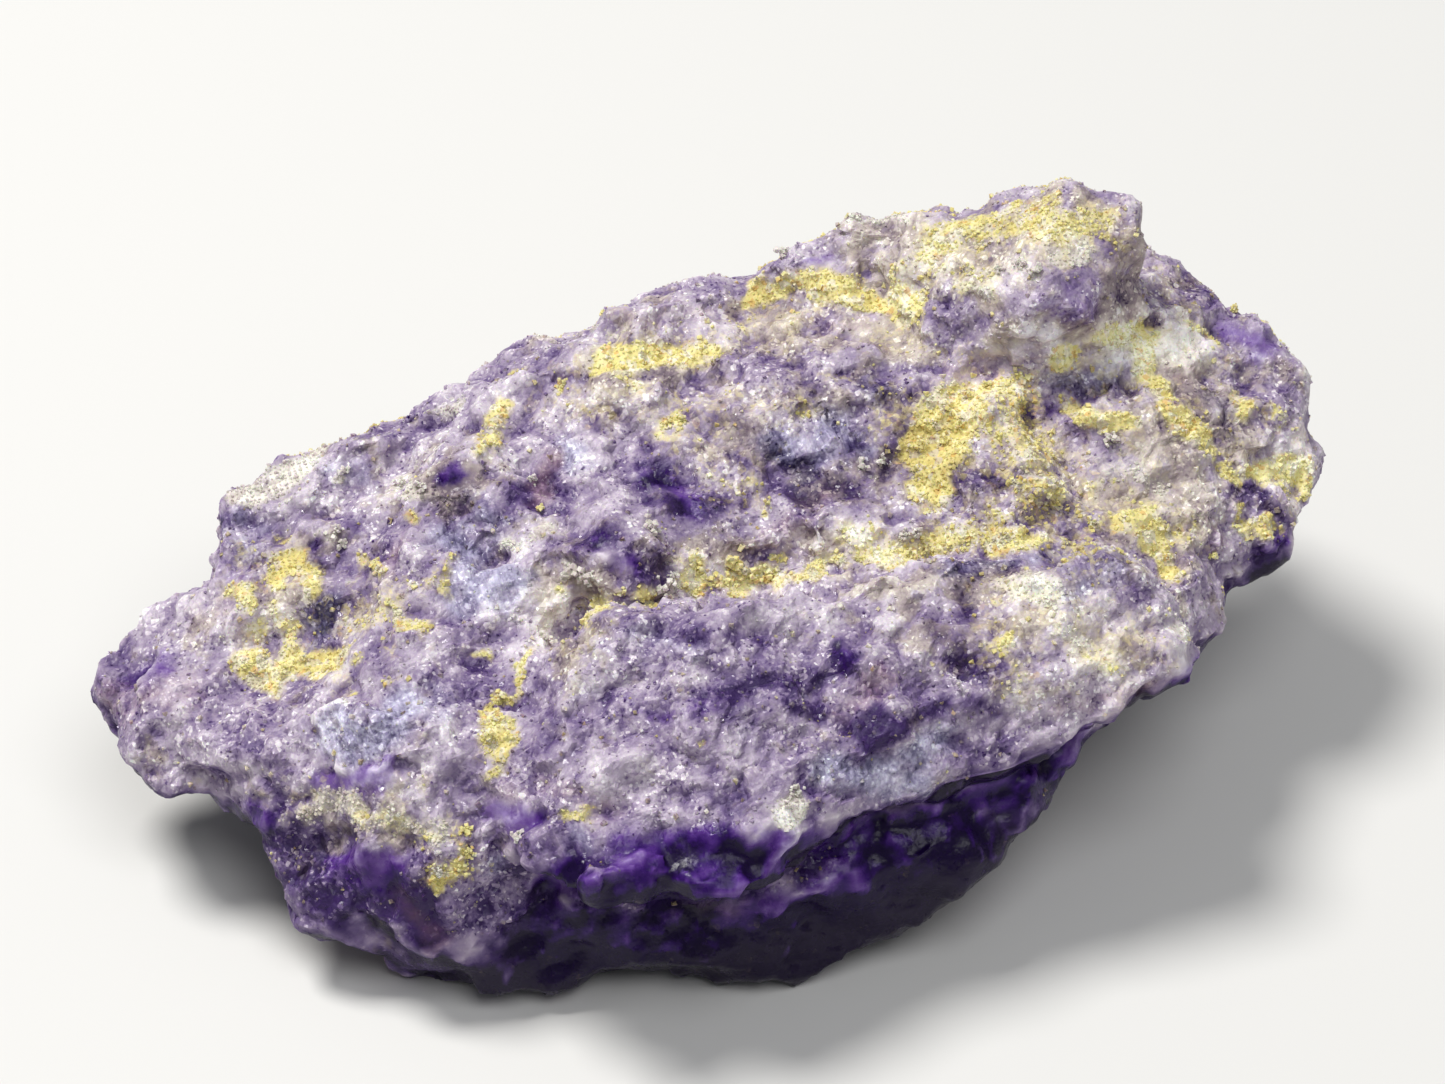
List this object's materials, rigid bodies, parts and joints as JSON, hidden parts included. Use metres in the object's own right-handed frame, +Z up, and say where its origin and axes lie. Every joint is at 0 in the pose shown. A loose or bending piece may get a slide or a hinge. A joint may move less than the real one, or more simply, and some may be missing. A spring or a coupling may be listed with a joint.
{
  "type": "coquimbite crystal specimen",
  "caption": "Free-standing lump of intergrown violet coquimbite crystals with a tilted top, an overhanging front rim and a knob at one end, resting on a broken flat face.",
  "frame": {"origin": "under the middle of the lump's box, on the flat broken face that it rests on", "axes": "+X along the lump's length, from the thin snout to the far lobe; +Y from the front rim to the back; +Z up"},
  "size_m": [0.0606, 0.0372, 0.0253],
  "materials": {
    "coquimbite": "granular, glassy on fresh breaks, dusted with yellow copiapite"
  },
  "bodies": {
    "root": {"coquimbite_mass": "coquimbite"}
  },
  "joints": []
}
